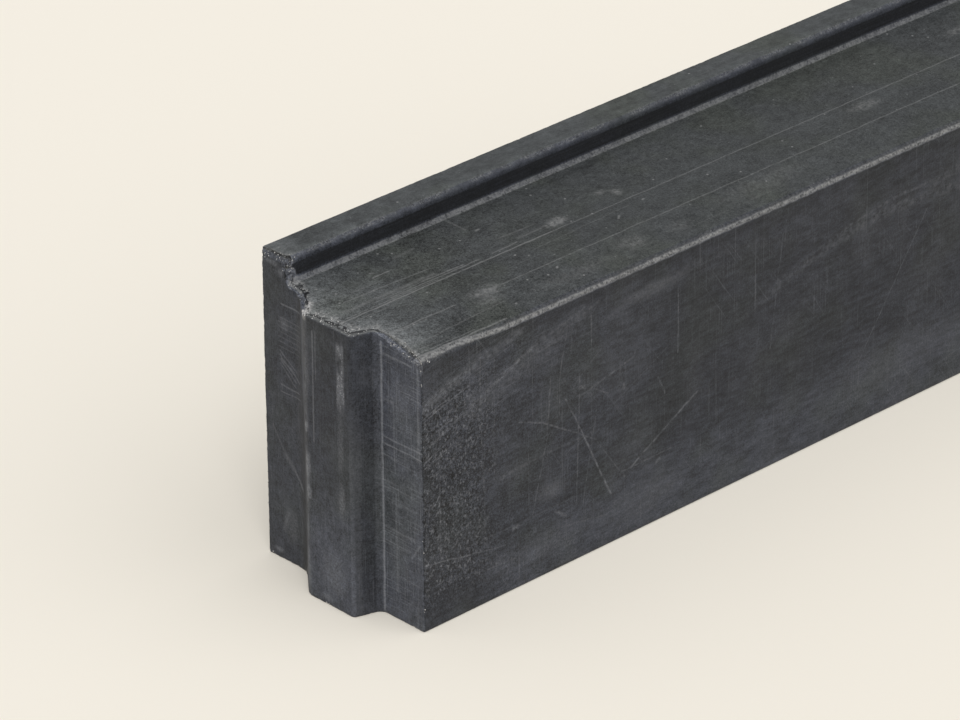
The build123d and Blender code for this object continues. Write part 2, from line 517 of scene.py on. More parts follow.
def casting_mesh(s, w):
    """The worn stone as a closed mesh."""
    raw = add_object("raw_casting", bpy.data.meshes.new("raw_casting"))
    fine = fine_mesh(raw, w)
    points = get_points(fine)
    worn = wear_sizes(points, s, w)
    points = pull_onto(points, lambda q: stone_field(q, s, worn))
    direction = outward(points, lambda q: stone_field(q, s, worn))
    depth, break_depth = wear_depths(points, s)
    across, reach = break_place(points, s, worn)
    torn = blend(reach, 1.22, 1.06) * (crown(points[:, 1], s) - points[:, 2] < 0.012)
    push = w.waviness * pitted(points, FACE_WAVE, 1, 9.7, swing=0.5, top=1)
    flat = blend(worn["near_drop"], 3 * MM, 1.5 * MM)
    share = np.maximum(blend(break_depth, 0.1 * MM, 0.9 * MM), 0.8 * torn)
    share *= 1 - 0.8 * flat * blend(across, 0.70, 0.95)
    rough = share > 0
    push[rough] += w.roughness * share[rough] * pitted(points[rough], BREAK_GRAIN, 3, 2.1)
    middle = 0.28 + 0.18 * blend(points[:, 1], 0.022, 0.016)
    share = torn * blend(np.abs(across - middle), 0.18, 0.08)
    cracked = share > 0
    crack = pitted(points[cracked], CRACK_GRAIN, 2, 5.5, level=0.6, swing=0.9, top=1.3)
    push[cracked] += w.crack * share[cracked] * crack
    arris = (depth > 0.2 * MM) & ~rough
    share = blend(depth[arris], 0.2 * MM, 1.5 * MM)
    push[arris] += 0.5 * w.roughness * share * pitted(points[arris], ARRIS_GRAIN, 3, 7.4)
    struck = points[:, 1] > HIGH.y - 0.004
    push[struck] += STRUCK_DEPTH * pitted(points[struck], STRUCK_GRAIN, 2, 3.3, swing=0.7, top=1.4)
    points -= direction * push[:, None]
    set_points(fine, np.clip(points, np.array(LOW), np.array(HIGH)))
    keep_values(fine, "break_torn", torn)
    keep_values(fine, "break_across", across)
    keep_values(fine, "break_reach", np.minimum(reach, 9))
    raw.data = fine
    thin = raw.modifiers.new("thin_out", "DECIMATE")
    thin.ratio = min(1.0, w.triangles / (2 * len(fine.polygons)))
    thin.use_collapse_triangulate = True
    done = evaluated(raw)
    bpy.data.objects.remove(raw)
    return done


def note_wear(mesh, s, w):
    """Keeps each vertex's wear in millimetres, and which way the face below it looks."""
    points = get_points(mesh)
    depth, break_depth = wear_depths(points, s)
    keep_values(mesh, "edge_wear", np.clip((depth - w.waviness) / MM, 0, 9))
    keep_values(mesh, "end_break", np.clip((break_depth - w.waviness) / MM, 0, 9))
    near, _ = end_fields(points[:, 0], points[:, 1], s)
    keep_values(mesh, "from_end", np.clip(-near / MM, 0, 90))
    plain = plain_wear(s, w)
    facing = outward(points, lambda q: stone_field(q, s, plain))
    layer = mesh.attributes.new("facing", "FLOAT_VECTOR", "POINT")
    layer.data.foreach_set("vector", facing.ravel())


# Material


SWAY = 0.0011  # how far the listed marks wander, in metres

# Places that the finish and its painted light and shade follow, in metres: from, to
RISER_Y, RISER_Z = (0.0645, 0.07), (0.2808, 0.2912)
COVE_Y, COVE_Z = (0.064, 0.0672), (0.274, 0.2778)
STRIP_Z, STRIP_EDGE_Y, GUTTER_Y = (0.292, 0.2975), (0.08, 0.071), (0.0805, 0.0845)
BEVEL_Y, HATCH_Y, BEHIND_TONGUE_Y = (-0.056, -0.062), (-0.048, -0.052), (0.048, 0.054)
TIP_X, TIP_Y, TIP_BACK_CORNER_Y = (-0.5225, -0.5245), (-0.045, 0.019), (0.0172, 0.0196)
TIP_FRONT_CORNER_Y, BESIDE_CORNER_Y = (-0.041, -0.037), (0.012, 0.0165)
BACK_FLANK_X, BACK_FLANK_Y, BACK_ROOT_Y = (-0.5008, -0.5025), (0.021, 0.046), (0.044, 0.053)
FRONT_ROOT_X, FRONT_ROOT_Y = (-0.5062, -0.5045), (-0.0512, -0.0458)
STREAK_Y, STREAK_LOW_Z, STREAK_HIGH_Z = (-0.031, -0.0235), (0.185, 0.205), (0.264, 0.256)
CHIP_Y, STRIP_END_Y, STRIP_END_Z = (0.027, 0.047), (0.07, 0.078), (0.286, 0.29)
GRAINY_X, GRAINY_Z = (-0.395, -0.45), (0.05, 0.205)
UNDER_EDGE_Z = (0.25, 0.256)

# The line along the front arris where z plus this share of y is this high
FRONT_EDGE_SLOPE, FRONT_EDGE_LEVEL = 0.36, -0.227


class Recipe:
    """Adds nodes to a material from plain arithmetic."""

    def __init__(self, tree):
        self.tree = tree

    def node(self, kind, inputs=(), output=0, **settings):
        made = self.tree.nodes.new(kind)
        for key, value in settings.items():
            setattr(made, key, value)
        for key, value in dict(inputs).items():
            if isinstance(value, bpy.types.NodeSocket):
                self.tree.links.new(value, made.inputs[key])
            else:
                made.inputs[key].default_value = value
        return made.outputs[output]

    def math(self, operation, *values):
        return self.node("ShaderNodeMath", enumerate(values), operation=operation)

    def clamp(self, value):
        """Keeps a value between 0 and 1."""
        return self.node("ShaderNodeClamp", {"Value": value})

    def chain(self, operation, values):
        """One value after another, joined by the same operation."""
        total = values[0]
        for value in values[1:]:
            total = self.math(operation, total, value)
        return total

    def add(self, *values):
        return self.chain("ADD", values)

    def weigh(self, start, *shares):
        """A start, plus each value times its share."""
        return self.add(start, *(self.times(value, share) for value, share in shares))

    def times(self, *values):
        return self.chain("MULTIPLY", values)

    def line(self, value, slope, start):
        """A value times a slope, plus a start."""
        return self.math("MULTIPLY_ADD", value, slope, start)

    def most(self, *values):
        return self.chain("MAXIMUM", values)

    def blend(self, value, low, high):
        """0 at low, 1 at high, smooth between; low may be the larger."""
        if low > high:
            return self.math("SUBTRACT", 1.0, self.blend(value, high, low))
        inputs = {"Value": value, "From Min": low, "From Max": high}
        return self.node("ShaderNodeMapRange", inputs, interpolation_type="SMOOTHSTEP")

    def within(self, value, low, high, soft):
        """1 between low and high, fading to 0 over soft on both sides."""
        return self.times(self.blend(value, low - soft, low), self.blend(value, high + soft, high))

    def vector(self, operation, *values, output=0):
        return self.node("ShaderNodeVectorMath", enumerate(values), output=output, operation=operation)

    def scaled(self, vector, share):
        return self.node("ShaderNodeVectorMath", {0: vector, "Scale": share}, operation="SCALE")

    def combine(self, x, y, z=0.0):
        return self.node("ShaderNodeCombineXYZ", {"X": x, "Y": y, "Z": z})

    def noise(self, point, size, detail=2.0, shift=0.0, stretch=(1, 1, 1)):
        """Noise of about -1 to 1 with features of this size in millimetres."""
        scale = [1 / (size * MM * s) for s in stretch]
        spot = self.vector("MULTIPLY_ADD", point, scale, (shift, shift * 1.7, -shift))
        inputs = {"Vector": spot, "Scale": 1.0, "Detail": detail, "Roughness": 0.6}
        return self.line(self.node("ShaderNodeTexNoise", inputs), 2.0, -1.0)

    def specks(self, point, spacing, radius, shift=0.0):
        """Round specks of this radius, one to each cell of this spacing, in millimetres."""
        scale = [1 / (spacing * MM)] * 3
        spot = self.vector("MULTIPLY_ADD", point, scale, (shift, shift, shift))
        away = self.node("ShaderNodeTexVoronoi", {"Vector": spot, "Scale": 1.0, "Randomness": 1.0})
        return self.blend(away, radius / spacing, 0.5 * radius / spacing)

    def blend_to(self, away, radius):
        """1 at no distance, fading to 0 at a radius."""
        return self.clamp(self.math("SUBTRACT", 1.0, self.math("DIVIDE", away, radius)))

    def mix(self, factor, a, b):
        """Colour a where the factor is 0, colour b where it is 1."""
        return self.node("ShaderNodeMix", {0: factor, 6: a, 7: b}, output=2, data_type="RGBA")


def node_group(name, kind, takes, gives):
    """A new group's recipe, what it is given and what it gives; sockets are named with their kinds."""
    tree = bpy.data.node_groups.new(name, kind)
    for way, sockets in (("INPUT", takes), ("OUTPUT", gives)):
        for key, socket in sockets.items():
            tree.interface.new_socket(key, in_out=way, socket_type=f"NodeSocket{socket}")
    given = tree.nodes.new("NodeGroupInput").outputs
    return Recipe(tree), given, tree.nodes.new("NodeGroupOutput").inputs


def stroke_group():
    """Node group: 1 along the line from Start by Run, fading to 0 at Width from it."""
    takes = {"Point": "Vector", "Start": "Vector", "Run": "Vector", "Width": "Float"}
    r, given, result = node_group("stroke", "ShaderNodeTree", takes, {"Mask": "Float"})
    away = r.vector("SUBTRACT", given["Point"], given["Start"])
    along = r.vector("DOT_PRODUCT", away, given["Run"], output="Value")
    length2 = r.vector("DOT_PRODUCT", given["Run"], given["Run"], output="Value")
    share = r.clamp(r.math("DIVIDE", along, length2))
    nearest = r.scaled(given["Run"], share)
    gap = r.vector("DISTANCE", away, nearest, output="Value")
    r.tree.links.new(r.blend_to(gap, given["Width"]), result["Mask"])
    return r.tree


def strokes(r, group, point, marks):
    """The strongest of many straight marks, given in millimetres."""
    total = 0.0
    for u0, v0, u1, v1, width, strength in marks:
        made = r.tree.nodes.new("ShaderNodeGroup")
        made.node_tree = group
        r.tree.links.new(point, made.inputs["Point"])
        made.inputs["Start"].default_value = (u0 * MM, v0 * MM, 0)
        made.inputs["Run"].default_value = ((u1 - u0) * MM, (v1 - v0) * MM, 0)
        made.inputs["Width"].default_value = width * MM
        total = r.most(total, r.times(made.outputs["Mask"], strength))
    return total


class Concrete(Recipe):
    """The paste and wear that every face of the casting shares."""

    def __init__(self, tree):
        super().__init__(tree)
        self.point = self.node("ShaderNodeTexCoord", output="Object")
        self.x, self.y, self.z = self.split(self.point)
        facing = self.split(self.kept("facing", "Vector"))
        self.rise = facing[2]
        self.up = self.blend(self.rise, 0.80, 0.95)
        self.front = self.blend(facing[1], -0.80, -0.95)
        self.edge_wear = self.kept("edge_wear")
        self.end_break = self.kept("end_break")
        self.across = self.kept("break_across")
        self.reach = self.kept("break_reach")
        self.torn = self.kept("break_torn")
        self.from_end = self.kept("from_end")
        self.middling = self.cloud(30, 3, 8.4)
        self.small = self.cloud(8, 3, 1.9)
        self.fine = self.cloud(2.2, 2, 6.2)
        self.patchy = self.blend(self.cloud(60, 2, 12.5), -0.25, 0.45)
        inputs = {"Vector": self.point, "Scale": 60.0, "Detail": 1.0}
        sway = self.node("ShaderNodeTexNoise", inputs, output="Color")
        bent = self.vector("MULTIPLY_ADD", sway, [2 * SWAY] * 3, self.point)
        self.bent = self.vector("SUBTRACT", bent, [SWAY] * 3)
        self.bx, self.by, self.bz = self.split(self.bent)

    def kept(self, name, output="Fac"):
        """A value that the mesh keeps under a name."""
        return self.node("ShaderNodeAttribute", output=output, attribute_name=name)

    def cloud(self, size, detail=2.0, shift=0.0, stretch=(1, 1, 1)):
        """Noise over the whole stone."""
        return self.noise(self.point, size, detail, shift, stretch)

    def split(self, vector):
        made = self.tree.nodes.new("ShaderNodeSeparateXYZ")
        self.tree.links.new(vector, made.inputs[0])
        return tuple(made.outputs)

    def streaks(self, stretch, shift, low=0.22, high=0.62):
        """Fine parallel streaks, long where stretch is large."""
        return self.blend(self.cloud(1, 2, shift, stretch), low, high)


def new_material(name, roughness, shine):
    """A new material, and the inputs of its shader."""
    mat = bpy.data.materials.new(name)
    mat.use_nodes = True
    inputs = mat.node_tree.nodes["Principled BSDF"].inputs
    inputs["Roughness"].default_value = roughness
    inputs["Specular IOR Level"].default_value = shine
    return mat, inputs


def patches(r, u, v, table, texture):
    """The strongest of many ragged ovals, given in millimetres."""
    total = 0.0
    for along, across, length, width, strength in table:
        off_u = r.times(r.add(u, -along * MM), 1 / (length * MM))
        off_v = r.times(r.add(v, -across * MM), 1 / (width * MM))
        gap = r.vector("LENGTH", r.combine(off_u, off_v), output="Value")
        gap = r.line(r.small, 0.6, gap)
        total = r.most(total, r.times(r.blend(gap, 1.1, 0.2), strength))
    return r.times(total, texture)


def front_marks(r):
    """Scratches, trowel arcs, grains and washed-out places on the front face, over painted shade on the
    whole face.
    """
    marks = strokes(r, stroke_group(), r.combine(r.bx, r.bz), FRONT_MARKS)
    broken_up = r.blend(r.cloud(6, 4, 15.1), -0.25, 0.32)
    marks = r.times(marks, r.line(broken_up, 0.8, 0.2))
    for middle, top, radius, width, strength in FRONT_ARCS:
        off = r.math("SUBTRACT", r.bx, middle * MM)
        drop = r.times(off, off, 0.5 / (radius * MM))
        gap = r.math("ABSOLUTE", r.add(r.bz, drop, -top * MM))
        near = r.blend(r.math("ABSOLUTE", off), 0.24, 0.12)
        band = r.blend(gap, width * MM, 0.2 * width * MM)
        marks = r.most(marks, r.times(band, near, strength, broken_up))

    # Fine scores: round the corner, slanting, upright and level
    off = r.add(r.bx, 0.31)
    curve = r.add(r.bz, r.times(off, off, 0.96))
    rings = r.blend(r.noise(r.combine(curve, r.times(r.bx, 0.012)), 1.0, 2, 4.4), 0.1, 0.5)
    ringed = r.times(r.blend(r.bx, -0.28, -0.46), r.blend(curve, 0.15, 0.22))
    tilted = r.node("ShaderNodeVectorRotate", {"Vector": r.bent, "Axis": (0, 1, 0), "Angle": 0.62})
    slants = r.blend(r.noise(tilted, 1, 2, 9.9, (1.6, 3, 120)), 0.18, 0.56)
    uprights = r.streaks((1.1, 1.1, 60), 2.2, 0.1, 0.55)
    scores = r.streaks((2.2, 2.2, 130), 8.3, 0.26, 0.52)

    # The grainy patch near the tongue end
    grains = r.blend(r.cloud(2.7, 3, 21.0, (1.0, 1.0, 1.4)), 0.04, 0.44)
    ragged = r.line(r.middling, 0.05, r.bx)
    granular = r.times(r.blend(ragged, *GRAINY_X), r.within(r.bz, *GRAINY_Z, 0.04))
    bloom = r.blend(r.cloud(70, 3, 30.2), -0.1, 0.4)
    rubbed = patches(r, r.bx, r.bz, FRONT_PATCHES, r.line(bloom, 0.4, 0.6))
    total = r.add(
        r.times(marks, 0.5), r.times(uprights, r.line(r.patchy, 0.14, 0.07)),
        r.times(scores, r.line(r.patchy, 0.16, 0.08)), r.times(slants, r.patchy, 0.18),
        r.times(rings, ringed, 0.34), r.times(grains, granular, 0.44), r.times(bloom, 0.05), rubbed,
    )

    low = r.times(r.blend(r.z, 0.095, 0.025), r.blend(r.x, -0.46, -0.38))
    middle = r.times(r.within(r.x, -0.45, -0.25, 0.05), r.within(r.z, 0.1, 0.22, 0.04))
    brushed = r.cloud(4, 3, 37.0, (4.5, 4.5, 1.0))
    sunk = r.times(granular, r.blend(r.cloud(3.0, 4, 55.1), 0.0, -0.36))
    swept = r.times(r.within(r.x, -0.49, -0.4, 0.03), r.within(r.z, 0.19, 0.235, 0.02))
    under_edge = r.within(r.z, *UNDER_EDGE_Z, 0.004)
    # Painted shade: the front face starts darker than the other sides, as turned from the light
    wear_and_painted_light = r.weigh(0.86, (low, 0.56), (middle, 0.17), (swept, 0.14), (under_edge, -0.16))
    wear_and_painted_light = r.times(wear_and_painted_light, r.line(brushed, 0.85, 1.0), r.line(sunk, -0.86, 1.0))
    return r.times(total, r.front), wear_and_painted_light, r.line(granular, 0.9, 0.75)


def top_marks(r):
    """Scratches, rubbed patches and specks on the tread, the bevel and the strip, the cove's wear with a
    painted highlight, and a painted highlight along the strip's front edge.
    """
    marks = strokes(r, stroke_group(), r.combine(r.x, r.by), TREAD_MARKS)
    marks = r.times(marks, r.blend(r.cloud(9, 3, 18.1), -0.8, 0.0))
    rubbed = r.blend(r.cloud(4, 3, 23.3), -0.5, 0.4)
    marks = r.most(marks, patches(r, r.bx, r.by, TREAD_PATCHES, rubbed))
    lengthwise = r.streaks((160, 1.7, 1.7), 7.2)
    handled = r.times(r.blend(r.x, -0.4, -0.505), r.within(r.y, -0.07, 0.05, 0.02))
    border = r.times(r.blend(r.from_end, 34, 5), r.clamp(r.line(r.small, 0.9, 0.85)))
    specks = r.most(r.specks(r.point, 18, 1.4, 3.3), r.times(r.specks(r.point, 8, 0.7, 1.3), 0.5))
    total = r.add(
        r.times(marks, 0.6), r.times(handled, r.line(r.middling, 0.14, 0.05)),
        r.times(lengthwise, r.line(handled, 0.12, 0.12)), r.times(specks, 0.7), r.times(border, 0.12),
    )
    # The cove at the riser's foot: a pale line of wear, partly a painted highlight where the hollow turns
    # to the light
    cove_wear_and_highlight = r.times(r.within(r.y, *COVE_Y, 0.0012), r.within(r.z, *COVE_Z, 0.0012))
    cove_wear_and_highlight = r.times(cove_wear_and_highlight, r.clamp(r.weigh(0.72, (r.small, 0.9), (r.fine, 0.7))))
    strip = r.blend(r.z, *STRIP_Z)
    # Painted highlight along the strip's rounded front edge
    edge = r.times(strip, r.blend(r.y, *STRIP_EDGE_Y), r.line(r.small, 0.8, 1.0))
    gutter = r.times(strip, r.within(r.y, *GUTTER_Y, 0.003))
    bevel = r.times(r.blend(r.y, *BEVEL_Y), r.blend(r.x, -0.43, -0.33))
    stains = patches(r, r.bx, r.by, TREAD_STAINS, 1.0)
    cloudy = r.cloud(5, 3, 12.2, (1.8, 1.0, 1.0))
    over_tongue = r.times(border, r.within(r.y, -0.072, 0.012, 0.012))
    wear_and_painted_light = r.weigh(
        1.15, (strip, 0.37), (edge, 0.1), (gutter, -0.1), (handled, 0.64), (border, 0.8),
        (over_tongue, 0.4), (bevel, 0.06), (stains, -0.26),
    )
    wear_and_painted_light = r.times(wear_and_painted_light, r.line(cloudy, 0.42, 1.0))
    return r.add(r.times(total, r.up), r.times(cove_wear_and_highlight, 0.5)), wear_and_painted_light, r.line(strip, -0.45, 0.85)


def end_scores():
    """Parallel scores on the back half of the tongue end, level above and slanting below."""
    for i in range(7):
        yield (50, 240 - 4.8 * i, 79, 240.5 - 4.8 * i, 1.0, 0.3)
    for i in range(4):
        yield (78, 208 - 4.2 * i, 55 + 1.5 * i, 192 - 4.4 * i, 1.1, 0.45)


def end_marks(r):
    """Cross-hatched scratches, scores and pale streaks on both ends, a worn and painted highlight along the
    tip's front corner, painted light on the back flank and the front root hollow, and painted shade at the
    back root.
    """
    marks = strokes(r, stroke_group(), r.combine(r.by, r.bz), (*END_MARKS, *end_scores()))
    marks = r.times(marks, r.blend(r.cloud(12, 3, 28.1), -0.9, 0.05))
    uprights = r.streaks((1.1, 1.1, 60), 2.2, 0.1, 0.5)
    levels = r.streaks((40, 40, 1.1), 5.2, 0.08, 0.5)
    hatch = r.blend(r.y, *HATCH_Y)
    grains = r.blend(r.cloud(1.7, 2, 21.0), 0.0, 0.5)
    blots = r.blend(r.cloud(12, 2, 26.1, (1, 1, 2.2)), -0.35, 0.25)
    streak = r.times(
        r.within(r.y, *STREAK_Y, 0.002), r.blend(r.z, *STREAK_LOW_Z), r.blend(r.z, *STREAK_HIGH_Z),
    )
    streak = r.times(streak, blots, r.line(grains, 0.8, 0.3))
    pale = r.blend(r.cloud(45, 3, 33.2), 0.0, 0.45)
    rubbed = patches(r, r.by, r.bz, END_PATCHES, r.line(r.fine, 0.7, 0.9))
    on_tip = r.blend(r.x, *TIP_X)
    chipped = r.blend(r.cloud(11, 3, 44.4), -0.3, 0.35)
    corner = r.times(r.within(r.y, *TIP_BACK_CORNER_Y, 0.0008), chipped, r.blend(r.z, 0.262, 0.252))
    beside = r.times(
        r.blend(r.y, *BESIDE_CORNER_Y), r.blend(r.cloud(12, 3, 48.4, (1, 1, 2.4)), -0.15, 0.35),
    )
    # Wear and a painted highlight along the rounded front corner of the tip
    front_corner_wear_and_highlight = r.times(r.within(r.y, *TIP_FRONT_CORNER_Y, 0.001), r.blend(r.z, 0.24, 0.14))
    total = r.add(
        r.times(marks, 0.55), r.times(uprights, r.line(hatch, 0.16, 0.12)),
        r.times(levels, r.line(hatch, 0.26, 0.04)), r.times(streak, 1.15), r.times(pale, 0.05), rubbed,
        r.times(corner, on_tip, 0.2), r.times(beside, on_tip, 0.14), r.times(front_corner_wear_and_highlight, 0.1),
    )
    low_tip = r.times(on_tip, r.blend(r.z, 0.15, 0.05))
    under_break = r.times(on_tip, r.blend(r.z, 0.258, 0.269))
    high_tip = r.times(on_tip, r.blend(r.z, 0.15, 0.2))
    behind = r.times(r.blend(r.y, *BEHIND_TONGUE_Y), r.blend(r.z, 0.24, 0.16))
    # Painted light: the upper back flank is lifted against the shade of its grazing face
    flank = r.times(
        r.within(r.y, *BACK_FLANK_Y, 0.001), r.blend(r.x, *BACK_FLANK_X), r.blend(r.z, 0.165, 0.19),
    )
    # Painted shade low in the corner at the back root of the tongue
    root = r.times(r.within(r.y, *BACK_ROOT_Y, 0.0015), r.blend(r.z, 0.19, 0.16))
    # Painted light: the hollow at the front root of the tongue is lifted out of its shade
    hollow = r.times(r.within(r.y, *FRONT_ROOT_Y, 0.0008), r.blend(r.x, *FRONT_ROOT_X))
    stains = patches(r, r.by, r.bz, END_STAINS, 1.0)
    wear_and_painted_light = r.weigh(
        1.0, (hatch, 0.8), (low_tip, 0.7), (behind, 0.14), (flank, 0.8), (root, -0.28), (hollow, 0.45),
        (under_break, -0.14), (high_tip, -0.1), (stains, -0.28),
    )
    cloudy = r.cloud(5, 3, 12.2, (1.0, 1.0, 1.8))
    return total, r.times(wear_and_painted_light, r.line(cloudy, 0.56, 1.0)), 0.55


def back_marks(r):
    """Pale patches on the struck back and the bed."""
    return r.times(r.blend(r.cloud(9, 4, 33.2), 0.0, 0.6), 0.16), 1.0, 0.8


def painted_blowhole_shade(r):
    """Painted shade inside the blowholes."""
    total = 0.0
    for *middle, radius in BLOWHOLES:
        away = r.vector("DISTANCE", r.point, [value * MM for value in middle], output="Value")
        total = r.most(total, r.blend(away, 1.35 * radius * MM, 1.1 * radius * MM))
    return total


def worn_arrises(r):
    """Rubbed arrises, and the bright core of the front one, worn and partly a painted highlight, which
    climbs near the tongue end.
    """
    arris = r.times(r.blend(r.edge_wear, 0.12, 1.1), r.blend(r.end_break, 1.2, 0.3))
    arris = r.times(arris, r.clamp(r.line(r.fine, 0.9, 0.6)))
    # The front arris's bright core: wear, and a painted highlight along the middle of its rounding
    level = r.add(r.z, r.times(r.y, FRONT_EDGE_SLOPE), FRONT_EDGE_LEVEL)
    core = r.line(r.blend(r.x, -0.395, -0.46), 0.0042, -0.0036)
    off_core = r.math("ABSOLUTE", r.math("SUBTRACT", level, core))
    gap = r.weigh(off_core, (r.small, 0.0016), (r.fine, 0.0014))
    front_arris_wear_and_highlight = r.times(r.blend(gap, 0.0032, 0.0013), r.clamp(r.line(r.fine, 1.1, 0.75)))
    front_arris_wear_and_highlight = r.times(front_arris_wear_and_highlight, r.line(r.blend(r.x, -0.42, -0.25), -0.08, 0.78))
    front_arris_wear_and_highlight = r.times(front_arris_wear_and_highlight, r.blend(r.y, -0.088, -0.092), r.blend(r.z, 0.252, 0.256))
    return arris, front_arris_wear_and_highlight


class BrokenEdge:
    """The break along the top of the tongue end: light lips, freckles, and a crack between."""

    def __init__(self, r):
        self.freckles = r.blend(r.cloud(1.5, 2, 40.4), -0.25, 0.4)
        high = r.blend(r.z, 0.248, 0.254)
        self.torn = r.blend(r.torn, 0.25, 0.75)
        self.face = r.most(self.torn, r.blend(r.end_break, 0.35, 0.8))
        self.strip_end = r.times(r.blend(r.y, *STRIP_END_Y), r.blend(r.z, *STRIP_END_Z))
        # Fewer pale freckles on the chip and the strip's end: painted shade on these broken faces
        chip = r.within(r.y, *CHIP_Y, 0.002)
        dull = r.line(r.most(chip, self.strip_end), -0.72, 1.0)
        self.freckled = r.times(self.face, self.freckles, dull)
        lips = r.times(r.within(r.reach, 1.0, 1.25, 0.12), high, r.line(r.across, -0.5, 0.7))
        self.lips = r.times(lips, r.clamp(r.line(r.fine, 1.2, 0.8)))

    def shade(self, r):
        """The crack's painted shade, and how deep the face of the break lies in shade on the tongue."""
        place = r.line(r.blend(r.y, 0.021, 0.015), -0.2, r.across)
        # Painted shade in the crack along the break
        crack = r.times(r.within(place, 0.15, 0.38, 0.06), self.torn, r.blend(r.small, -0.4, 0.05))
        crack = r.times(crack, r.line(r.blend(r.y, -0.052, -0.046), 0.35, 0.5))
        tongue = r.times(self.torn, r.within(r.y, *TIP_Y, 0.002))
        sunk = r.add(
            r.times(r.blend(r.across, 0.4, 0.52), 0.28), r.times(r.blend(r.across, 0.8, 0.93), 0.34),
        )
        return crack, tongue, sunk


def dark_places(r, riser, broken_edge):
    """The riser's painted shade, pores, painted shade in the blowholes, the crack and below the strip's
    end, and the shaded parts of the break.
    """
    pores = r.most(r.specks(r.point, 16, 0.8, 7.7), r.times(r.specks(r.point, 7, 0.4, 5.5), 0.7))
    pits = r.times(broken_edge.face, r.blend(r.cloud(1.8, 2, 50.5), -0.12, -0.4))
    crack, tongue, sunk = broken_edge.shade(r)
    drawn = r.cloud(1, 2, 66.3, (60, 1.3, 1.3))
    # The riser's painted shade, streaked along the kerb
    riser = r.times(riser, r.weigh(0.8, (r.small, 0.22), (drawn, 0.34)))
    painted_shade_and_pores = r.most(
        r.times(pores, 0.8), r.times(pits, 0.7), crack, r.times(tongue, sunk),
        # Painted shadow on the break below the strip's end
        r.times(broken_edge.strip_end, broken_edge.torn, 0.3), painted_blowhole_shade(r),
    )
    return r.clamp(r.add(riser, painted_shade_and_pores))


def concrete_material(name, finish, marks):
    """Fair-faced dark concrete with the marks of one side."""
    mat, inputs = new_material(name, roughness=0.6, shine=0.25)
    r = Concrete(mat.node_tree)
    scuffs_and_highlights, wear_and_painted_light, grain_share = marks(r)
    # Painted shade: the riser below the strip is darkened as a recess lying in shade
    riser = r.times(r.within(r.y, *RISER_Y, 0.0012), r.within(r.z, *RISER_Z, 0.0018))
    riser = r.times(riser, r.blend(r.end_break, 0.5, 0.1))
    arris, front_arris_wear_and_highlight = worn_arrises(r)
    broken_edge = BrokenEdge(r)
    # Wear marks, with the painted highlights carried by the cove, the front arris and the tip's front
    # corner
    scuffs_and_highlights = r.add(
        scuffs_and_highlights, r.times(arris, 0.2), front_arris_wear_and_highlight, r.times(broken_edge.lips, 0.36),
        r.times(broken_edge.freckled, 0.44),
    )
    scuffs_and_highlights = r.clamp(r.times(scuffs_and_highlights, r.line(r.fine, 0.6, 1.0)))
    painted_shade_and_pores = dark_places(r, riser, broken_edge)

    # The paste's own grain, then the painted light of each side and the slight colour of large patches
    sand = r.cloud(1.0, 1, 4.7)
    gritty = r.times(r.add(r.times(r.fine, 1.4), r.times(sand, 1.5)), grain_share)
    texture = r.add(r.times(r.middling, 0.55), r.times(r.small, 0.6), gritty)
    strength = r.line(r.blend(r.x, -0.2, -0.42), 0.35, 0.65)
    tone = r.most(0.25, r.line(texture, strength, 1.0))
    # Painted light: faces that look up are lighter, as if lit from above
    tone = r.times(tone, wear_and_painted_light, r.line(r.up, 0.3, 1.0))
    # Painted light: upright faces get a cooler cast than faces that look up
    cast = r.mix(r.up, (0.925, 0.99, 1.195, 1), (0.95, 1.0, 0.99, 1))
    tint = r.mix(r.blend(r.cloud(85, 2, 70.7), -0.1, 0.35), (0.99, 0.995, 1.02, 1), (1.0, 1.02, 0.94, 1))
    paste = r.scaled(finish.paste, tone)
    paste = r.vector("MULTIPLY", r.vector("MULTIPLY", paste, cast), tint)
    # Scuffs on upright faces take half of the same painted cool cast
    upright = r.times(r.blend(r.rise, 0.3, 0.05), 0.5)
    rubbed = r.mix(upright, (*finish.scuff, 1), r.vector("MULTIPLY", cast, finish.scuff))
    toned = r.mix(scuffs_and_highlights, paste, rubbed)
    dusty = r.clamp(strokes(r, stroke_group(), r.combine(r.bx, r.by), WHITE_STREAK))
    dusty = r.times(dusty, r.blend(r.z, 0.267, 0.2715), r.line(broken_edge.freckles, 0.75, 0.2))
    toned = r.mix(dusty, toned, (*finish.dust, 1))
    toned = r.mix(painted_shade_and_pores, toned, (*finish.shade, 1))

    height = r.cloud(3.0, 3, 61.0)
    bump = r.node("ShaderNodeBump", {"Strength": 0.5, "Distance": 0.0004, "Height": height})
    mat.node_tree.links.new(toned, inputs["Base Color"])
    mat.node_tree.links.new(bump, inputs["Normal"])
    return mat


SIDES = {"front": front_marks, "top": top_marks, "end": end_marks, "back": back_marks}


FACE_SLACK = 0.0005  # how far past a joint face its own faces may start
POCKET_HALF = 0.055  # half width of the groove, with room to spare


